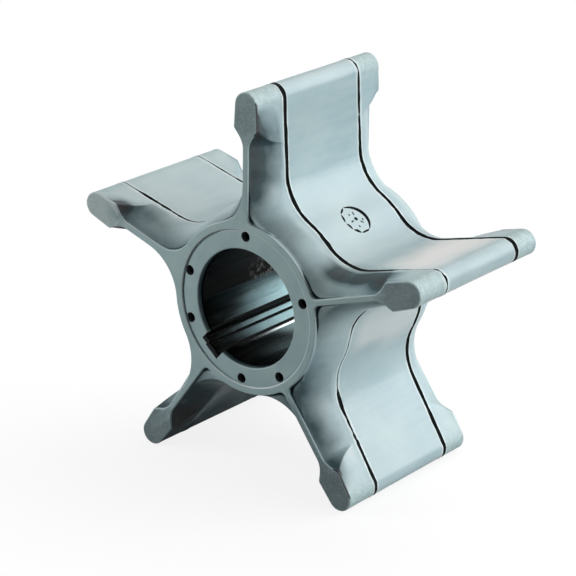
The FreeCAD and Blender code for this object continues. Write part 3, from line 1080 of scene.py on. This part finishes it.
line_marks = rubber.data.attributes["line_row"].data
groove_rows = {k + 1 for k, (along, _) in enumerate(LINE_PROFILE) if abs(along) <= line_half}
for face in rubber.data.polygons:
    marks_here = {line_marks[v].value for v in face.vertices}
    rows_here = {(mark - 1) % len(LINE_PROFILE) + 1 if mark else 0 for mark in marks_here}
    heights = [abs(rubber.data.vertices[v].co.y) for v in face.vertices]
    at_face = all(height > (half_width - 1e-3) * MM for height in heights)
    in_recess = all(abs(height - (half_width - recess_depth) * MM) < 1e-6
                    for height in heights)
    if rows_here <= groove_rows:
        face.material_index = 2
    elif at_face or in_recess:
        face.material_index = 1
print("faces with each finish",
      [sum(1 for face in rubber.data.polygons if face.material_index == k) for k in range(3)])

# %% [markdown]
# Holes are cut as a machinist would cut them, with a tool in the shape of the hole: small
# pins stood in the tool and left six holes in each face, the key needs a stepped notch in
# both lips, and a round moulder's mark lies on the hub midway between two vanes.

# %% Tools that cut the rubber
PIN_SIDES = 28
pin_radius = 0.75
pin_circle = 11.3
pin_rim = 0.05
pin_sink = 0.5
pin_angles = [90.0, 162.0, 18.0, -54.0, -126.0 + 33.0, -126.0 - 33.0]
key_angle = math.radians(-130.4)
key_half = 1.85
key_depth = 1.4
key_deep_width = 2.6
key_deep_step = 0.3
key_clearance = 0.1


def turned_to(angle, y=0.0):
    """A frame on the bore's axis: X points away from it at that angle, Y runs along it."""
    along = Vector((math.cos(angle), 0.0, math.sin(angle)))
    across = Vector((-math.sin(angle), 0.0, math.cos(angle)))
    axes = Matrix((along, (0, 1, 0), across)).transposed().to_4x4()
    return Matrix.Translation((0, y * MM, 0)) @ axes


def apply_place(obj, matrix):
    obj.data.transform(matrix)
    obj.matrix_world = Matrix.Identity(4)
    if matrix.determinant() < 0:
        obj.data.flip_normals()


def drawn_out(section, travel):
    """A closed solid: an outline, given as points in millimetres, filled and extruded."""
    bpy.ops.mesh.primitive_circle_add(vertices=len(section), radius=MM, fill_type="NGON")
    solid = bpy.context.object
    for vert, point in zip(solid.data.vertices, section):
        vert.co = Vector(point) * MM
    bpy.ops.object.mode_set(mode="EDIT")
    bpy.ops.mesh.extrude_region_move(TRANSFORM_OT_translate={"value": Vector(travel) * MM})
    leave_sound()
    return solid


def pin_tool(angle, side):
    """A pin with a slightly flared head, from the seat out to just over the recess."""
    floor_y = half_width - recess_depth
    start_y = bush_end - pin_sink
    bpy.ops.mesh.primitive_circle_add(vertices=PIN_SIDES, radius=pin_radius * MM,
                                      fill_type="NGON")
    pin = bpy.context.object
    bpy.ops.object.mode_set(mode="EDIT")
    straight = floor_y - pin_rim - start_y
    bpy.ops.mesh.extrude_region_move(TRANSFORM_OT_translate={"value": (0, 0, straight * MM)})
    bpy.ops.mesh.extrude_region_move(TRANSFORM_OT_translate={"value": (0, 0, 2 * pin_rim * MM)})
    wide = 1 + 2 * pin_rim / pin_radius
    bpy.ops.transform.resize(value=(wide, wide, 1))
    leave_sound()
    up = Matrix(((1, 0, 0), (0, 0, side), (0, -side, 0))).to_4x4()
    spot = Vector((pin_circle * math.cos(angle), side * start_y, pin_circle * math.sin(angle)))
    apply_place(pin, Matrix.Translation(spot * MM) @ up)
    return pin


def key_tool(clearance):
    """The keyway's stepped section, drawn out along the bore past both faces."""
    floor = bore_radius + key_depth + clearance
    low = -key_half - clearance
    high = key_half + clearance
    step_at = key_half - key_deep_width - clearance
    section = [(0.5 * bore_radius, low), (floor, low), (floor, step_at),
               (floor + key_deep_step, step_at), (floor + key_deep_step, high),
               (0.5 * bore_radius, high)]
    reach = half_width + 1
    tool = drawn_out([(out, -reach, across) for out, across in section], (0, 2 * reach, 0))
    apply_place(tool, turned_to(key_angle))
    return tool


# %% [markdown]
# The moulder's mark is a plain dial: a broken ring, a dimple, pips and short strokes.

# %% The moulder's mark
mark_radius = 2.55
mark_thin = 0.12
dimple_radius = 0.32
pip_radius = 0.16
stroke = (0.75, 1.35, 0.12)
stroke_turns = (20, 140, 260)
# The parts of its ring: middle and reach in degrees, and thickness.
MARK_ARCS = [(72, 80, 0.75), (177, 20, 0.34), (217, 16, 0.5), (252, 15, 0.46), (290, 18, 0.42),
             (330, 17, 0.34)]
MARK_PIPS = [(1.0, -0.6), (-0.45, 1.15), (-1.3, -0.4)]
mark_floor = hub_radius - 0.6
mark_y = (line_near - line_far) / 2


def stamp(points, floor):
    """A shape that stands on the hub at the mark's middle, from the floor out of the rubber."""
    tool = drawn_out([(floor, v, u) for u, v in points], (2, 0, 0))
    apply_place(tool, turned_to(math.radians(90.0) - half_gap, mark_y))
    return tool


def ring_of(radius, count):
    return [(radius * math.cos(2 * math.pi * k / count),
             radius * math.sin(2 * math.pi * k / count)) for k in range(count)]


def crescent(middle, reach, thick):
    """Part of a ring, thickest in its middle. Angles in degrees."""
    steps = max(6, round(reach / 5))
    outer = []
    inner = []
    for k in range(steps + 1):
        share = 2 * k / steps - 1
        turn = math.radians(middle + reach * share)
        here = mark_radius - mark_thin - (thick - mark_thin) * (1 - share ** 2)
        outer.append((mark_radius * math.cos(turn), mark_radius * math.sin(turn)))
        inner.append((here * math.cos(turn), here * math.sin(turn)))
    return outer + inner[::-1]


def mark_tools():
    tools = [stamp(crescent(middle, reach, thick), mark_floor)
             for middle, reach, thick in MARK_ARCS]
    tools.append(stamp(ring_of(dimple_radius, 20), mark_floor + 0.1))
    for u, v in MARK_PIPS:
        pip = [(u + x, v + y) for x, y in ring_of(pip_radius, 12)]
        tools.append(stamp(pip, mark_floor + 0.3))
    start, end, half = stroke
    for turn in stroke_turns:
        c = math.cos(math.radians(turn))
        s = math.sin(math.radians(turn))
        box = [(start, -half), (end, -half), (end, half), (start, half)]
        tools.append(stamp([(u * c - v * s, u * s + v * c) for u, v in box],
                           mark_floor + 0.3))
    return tools


# %% [markdown]
# The pins and the mark are cut first and the key after them, so that no two tools of one cut
# overlap.

# %% Cut the rubber
def cut(obj, tools, material):
    """Takes the tools' shapes out of the piece. The cut faces get the tools' material."""
    tool = join(tools, "tool")
    tool.data.materials.clear()
    tool.data.materials.append(material)
    modifier = obj.modifiers.new("cut", "BOOLEAN")
    modifier.operation = "DIFFERENCE"
    modifier.solver = "EXACT"
    modifier.material_mode = "TRANSFER"
    modifier.object = tool
    select([obj])
    bpy.ops.object.modifier_apply(modifier=modifier.name)
    bpy.data.objects.remove(tool)


pins = [pin_tool(math.radians(angle), side) for angle in pin_angles for side in (-1, 1)]
cut(rubber, pins + mark_tools(), rubber_cut_shade)
cut(rubber, [key_tool(key_clearance)], rubber_cut_shade)
print("rubber faces", len(rubber.data.polygons), "open edges", open_edges(rubber))

# %% [markdown]
# Smooth shading rounds the narrow edge rows and must leave the flat faces flat, so edges
# sharper than 35 degrees stay sharp and the normals lean towards the larger faces.

# %% Smooth the rubber
def smooth(obj, degrees):
    select([obj])
    bpy.ops.object.shade_smooth_by_angle(angle=math.radians(degrees))
    weighted = obj.modifiers.new("weighted", "WEIGHTED_NORMAL")
    weighted.keep_sharp = True
    weighted.weight = 60
    bpy.ops.object.modifier_apply(modifier=weighted.name)


smooth(rubber, 35)

# %% [markdown]
# The bush is a dark, turned brass or steel sleeve with a keyway cut along it in
# two passes that left a fine step on its floor. It starts as a tube, is cut with the same
# stepped tool, and its sharp edges are broken, because a bright line runs along the
# keyway's edge on the real one. The bore is painted: black as shade at the near end, lighter
# further in, where light comes through the far end, and near black above a line, with specks
# painted as glints.

# %% Dark bush metal
upper_edge_z = -1.17


def bush_metal():
    material, tree, spot = new_material("dark bush metal")
    # Fine drawn streaks along the bore, clouds 2.5 mm across, and specks for painted glints.
    drawn = add(tree, "Mapping", {"Vector": spot, "Scale": (1.0, 0.06, 1.0)})
    streak = pattern(tree, drawn, 0.9, 4.0, 0.35, 0.65)
    cloud = pattern(tree, spot, 2.5, 4.0, 0.3, 0.7, (-1.5, 1.5), roughness=0.6)
    speck = pattern(tree, spot, 0.8, 5.0, 0.49, 0.66, roughness=0.7)
    # Painted shade makes the near end black and lifts further in; above a line the bore stays near
    # black.
    into = add(tree, "SeparateXYZ", {0: spot}, "Y")
    into = add(tree, "Math", {0: into, 1: cloud}, operation="ADD")
    shade_lift = add(tree, "MapRange", {0: into, 1: -12.0, 2: 6.0})
    far_glints = add(tree, "MapRange", {0: into, 1: -3.0, 2: 6.0})
    height = add(tree, "SeparateXYZ", {0: spot}, "Z")
    upper = add(tree, "MapRange", {0: height, 1: upper_edge_z - 0.15, 2: upper_edge_z + 0.15})
    metal_colour = add(tree, "Mix", {0: streak, 6: srgb("#3A4C50"), 7: srgb("#586D70")}, **COLOUR)
    low = add(tree, "MapRange", {0: height, 1: upper_edge_z + 1.0, 2: upper_edge_z + 7.0, 3: 1.0,
                                 4: 0.0})
    # The specks are painted glints, brightest further in and near the line.
    share = add(tree, "Math", {0: speck, 1: far_glints}, operation="MULTIPLY")
    share = add(tree, "Math", {0: share, 1: low}, operation="MULTIPLY")
    upper_colour = add(tree, "Mix", {0: share, 6: srgb("#030506"), 7: srgb("#B9BCB4")}, **COLOUR)
    colour = add(tree, "Mix", {0: shade_lift, 6: srgb("#07090A"), 7: metal_colour}, **COLOUR)
    # In the keyway, painted shade darkens the corner by one wall, the step on the floor and a line
    # near the other wall, and a painted highlight lies along one rim.
    out_way = (math.cos(key_angle), 0, math.sin(key_angle))
    out = add(tree, "VectorMath", {0: spot, 1: out_way}, "Value", operation="DOT_PRODUCT")
    across_way = (-math.sin(key_angle), 0, math.cos(key_angle))
    across = add(tree, "VectorMath", {0: spot, 1: across_way}, "Value",
                 operation="DOT_PRODUCT")
    in_key = add(tree, "MapRange", {0: out, 1: bore_radius - 0.6, 2: bore_radius - 0.5})
    key_shade = add(tree, "Math", {0: across, 1: -key_half - 0.05, 2: 0.34},
                 operation="COMPARE")
    for middle, half in ((key_half - key_deep_width + 0.12, 0.2), (1.1, 0.28)):
        scrape = add(tree, "Math", {0: across, 1: middle, 2: half}, operation="COMPARE")
        key_shade = add(tree, "Math", {0: key_shade, 1: scrape}, operation="MAXIMUM")
    key_shade = add(tree, "Math", {0: key_shade, 1: in_key}, operation="MULTIPLY")
    rim = add(tree, "Math", {0: across, 1: key_half + 0.25, 2: 0.2}, operation="COMPARE")
    key_rim_highlight = add(tree, "Math", {0: rim, 1: in_key}, operation="MULTIPLY")
    key_rim_highlight = add(tree, "Math", {0: key_rim_highlight, 1: shade_lift}, operation="MULTIPLY")
    for share, over in ((upper, upper_colour), (key_shade, srgb("#030404")), (key_rim_highlight, srgb("#E3EEF2"))):
        colour = add(tree, "Mix", {0: share, 6: colour, 7: over}, **COLOUR)
    gloss = add(tree, "MapRange", {0: streak, 3: 0.2, 4: 0.32})
    dull = add(tree, "Math", {0: upper, 1: key_shade}, operation="MAXIMUM")
    roughness = add(tree, "Math", {0: dull, 1: 0.25, 2: gloss}, operation="MULTIPLY_ADD")
    ripple = add(tree, "TexNoise", {"Vector": spot, "Scale": 1 / 1.2, "Detail": 4.0})
    reliefs = [(streak, 0.4, 0.015), (ripple, 0.2, 0.02)]
    shader = finished(tree, colour, roughness, reliefs, Metallic=1.0)
    add(tree, "OutputMaterial", {"Surface": shader})
    return material


# %% [markdown]
# The blank is a cylinder, bored and slotted. The edges to break are found by their place.

# %% The bush
BORE_SIDES = 192
key_chamfer = 0.26
bore_edge = 0.2


def bush_blank():
    turn = (math.radians(90), 0, 0)
    bpy.ops.mesh.primitive_cylinder_add(vertices=BORE_SIDES, radius=bush_radius * MM,
                                        depth=2 * bush_end * MM, rotation=turn)
    blank = bpy.context.object
    bpy.ops.object.transform_apply(rotation=True)
    bpy.ops.mesh.primitive_cylinder_add(vertices=BORE_SIDES, radius=bore_radius * MM,
                                        depth=4 * bush_end * MM, rotation=turn)
    drill = bpy.context.object
    bpy.ops.object.transform_apply(rotation=True)
    return blank, drill


def break_edges(obj, wanted, width, steps):
    """Bevels the edges whose two ends both pass the test."""
    bpy.ops.object.mode_set(mode="EDIT")
    bpy.ops.mesh.select_mode(type="EDGE")
    bpy.ops.mesh.select_all(action="DESELECT")
    mesh = bmesh.from_edit_mesh(obj.data)
    for edge in mesh.edges:
        sharp = len(edge.link_faces) == 2 and edge.calc_face_angle() > math.radians(30)
        edge.select_set(sharp and all(wanted(vert.co / MM) for vert in edge.verts))
    bmesh.update_edit_mesh(obj.data)
    bpy.ops.mesh.bevel(offset=width * MM, segments=steps, affect="EDGES")
    bpy.ops.object.mode_set(mode="OBJECT")


def along_key(p):
    """The point's place in the keyway: out from the axis, and across."""
    c = math.cos(key_angle)
    s = math.sin(key_angle)
    return p.x * c + p.z * s, p.z * c - p.x * s


def on_key_rim(p):
    out, across = along_key(p)
    return abs(math.hypot(out, across) - bore_radius) < 0.05 and abs(abs(across) - key_half) < 0.05


def on_bore_end(p):
    return abs(abs(p.y) - bush_end) < 0.01 and math.hypot(p.x, p.z) < bush_radius - 0.2


bush, drill = bush_blank()
bush.name = "keyed_bush"
bush_steel = bush_metal()
bush.data.materials.append(bush_steel)
cut(bush, [drill], bush_steel)
cut(bush, [key_tool(0.0)], bush_steel)
break_edges(bush, on_key_rim, key_chamfer, 3)
break_edges(bush, on_bore_end, bore_edge, 2)
print("bush faces", len(bush.data.polygons), "open edges", open_edges(bush))

smooth(bush, 32)

# %% [markdown]
# The camera stands where the photograph was taken from, in front of the near face and to
# its right. The air is white to the camera, in gloss and through glass. So is the floor far
# out; near the object it keeps its shadow and is dark in the gloss. The lamps stand above
# and to the right, a little behind, so that the near faces stay darker.

# %% Camera
CAMERA_PLACE = Vector((0.2054, -0.2628, 0.1267))
CAMERA_BACK = Vector((0.5810, -0.7313, 0.3574))
CAMERA_ROLL = math.radians(0.77)
CAMERA_LENS = 146.65

scene = bpy.context.scene
camera = bpy.data.objects.new("camera", bpy.data.cameras.new("camera"))
scene.collection.objects.link(camera)
camera.location = CAMERA_PLACE
camera.rotation_mode = "QUATERNION"
aim = CAMERA_BACK.to_track_quat("Z", "Y")
camera.rotation_quaternion = aim @ Matrix.Rotation(CAMERA_ROLL, 4, "Z").to_quaternion()
camera.data.lens = CAMERA_LENS
camera.data.sensor_width = 36
camera.data.clip_start = 0.01
scene.camera = camera
print("camera axes", [round(v, 4) for v in camera.rotation_quaternion @ Vector((1, 0, 0))],
      [round(v, 4) for v in camera.rotation_quaternion @ Vector((0, 1, 0))])

# %% [markdown]
# The air lights the object a little and is white to look at. The floor is paper that glows
# in its own white towards the camera, less so near the object, so that a soft shadow stays.

# %% Floor and air
AIR_LIGHT = 0.22
FLOOR_SIZE = 8
FLOOR_GLOW = 0.84
FLOOR_GLOW_IN_GLOSS = 0.05
GLOW_START = 60.0
GLOW_END = 180.0


def seen_white(tree):
    """1 for rays from the camera, from gloss and through glass, which see plain white."""
    rays = [add(tree, "LightPath", out=f"Is {kind} Ray")
            for kind in ("Camera", "Glossy", "Transmission")]
    either = add(tree, "Math", {0: rays[0], 1: rays[1]}, operation="MAXIMUM")
    return add(tree, "Math", {0: either, 1: rays[2]}, operation="MAXIMUM")


world = bpy.data.worlds.new("studio")
scene.world = world
world.use_nodes = True
world.node_tree.nodes.clear()
air = world.node_tree
strength = add(air, "MapRange", {0: seen_white(air), 3: AIR_LIGHT, 4: 1.0})
background = add(air, "Background", {"Color": srgb("#FFFFFF"), "Strength": strength})
add(air, "OutputWorld", {"Surface": background})

bpy.ops.mesh.primitive_plane_add(size=FLOOR_SIZE, location=(0, 0, rubber_low.z))
floor = bpy.context.object
floor.name = "floor"
floor_paper, paper, paper_spot = new_material("white paper")
to_camera = seen_white(paper)
pulp = add(paper, "TexNoise", {"Vector": paper_spot, "Scale": 1 / 2.0})
sheet = add(paper, "Mix", {0: to_camera, 6: srgb("#3C3E3F"), 7: srgb("#F9FAFA")}, **COLOUR)
shade = finished(paper, sheet, 0.9, [(pulp, 0.1, 0.1)])
glow = add(paper, "Emission", {"Color": srgb("#FFFFFF"), "Strength": 1.0})
away = add(paper, "VectorMath", {0: paper_spot}, "Value", operation="LENGTH")
close = add(paper, "LightPath", out="Is Camera Ray")
close = add(paper, "MapRange", {0: close, 3: FLOOR_GLOW_IN_GLOSS, 4: FLOOR_GLOW})
glow_share = add(paper, "MapRange", {0: away, 1: GLOW_START, 2: GLOW_END, 3: close,
                                     4: 1.0})
glow_share = add(paper, "Math", {0: to_camera, 1: glow_share}, operation="MULTIPLY")
lit = add(paper, "MixShader", {0: glow_share, 1: shade, 2: glow})
add(paper, "OutputMaterial", {"Surface": lit})
floor.data.materials.append(floor_paper)

# %% [markdown]
# Four soft lamps light the top and the right, and a card lifts the near faces a little.

# %% Lamps
def soft_lamp(name, place, power, size):
    data = bpy.data.lights.new(name, "AREA")
    data.energy = power
    data.size = size
    lamp = bpy.data.objects.new(name, data)
    scene.collection.objects.link(lamp)
    lamp.location = place
    lamp.rotation_mode = "QUATERNION"
    lamp.rotation_quaternion = Vector(place).to_track_quat("Z", "Y")
    return lamp


soft_lamp("key softbox", (0.32, 0.44, 0.27), 3.4, 0.5)
soft_lamp("right softbox", (0.47, 0.06, 0.05), 1.35, 0.16)
soft_lamp("front card", (-0.2, -0.17, 0.06), 0.42, 0.15)
top = soft_lamp("top softbox", (-0.07, 0.33, 0.5), 1.7, 0.4)
top.data.color = (1.0, 0.95, 0.91)
scene.view_settings.view_transform = "Standard"

# %% [markdown]
# Each piece takes the place of its CAD solid and rides on the one body.

for piece, node, slot in ((rubber, "vane_body", "moulded_rubber"),
                          (bush, "hub_insert", "bush_metal")):
    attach(piece, "root")
    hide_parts(node)
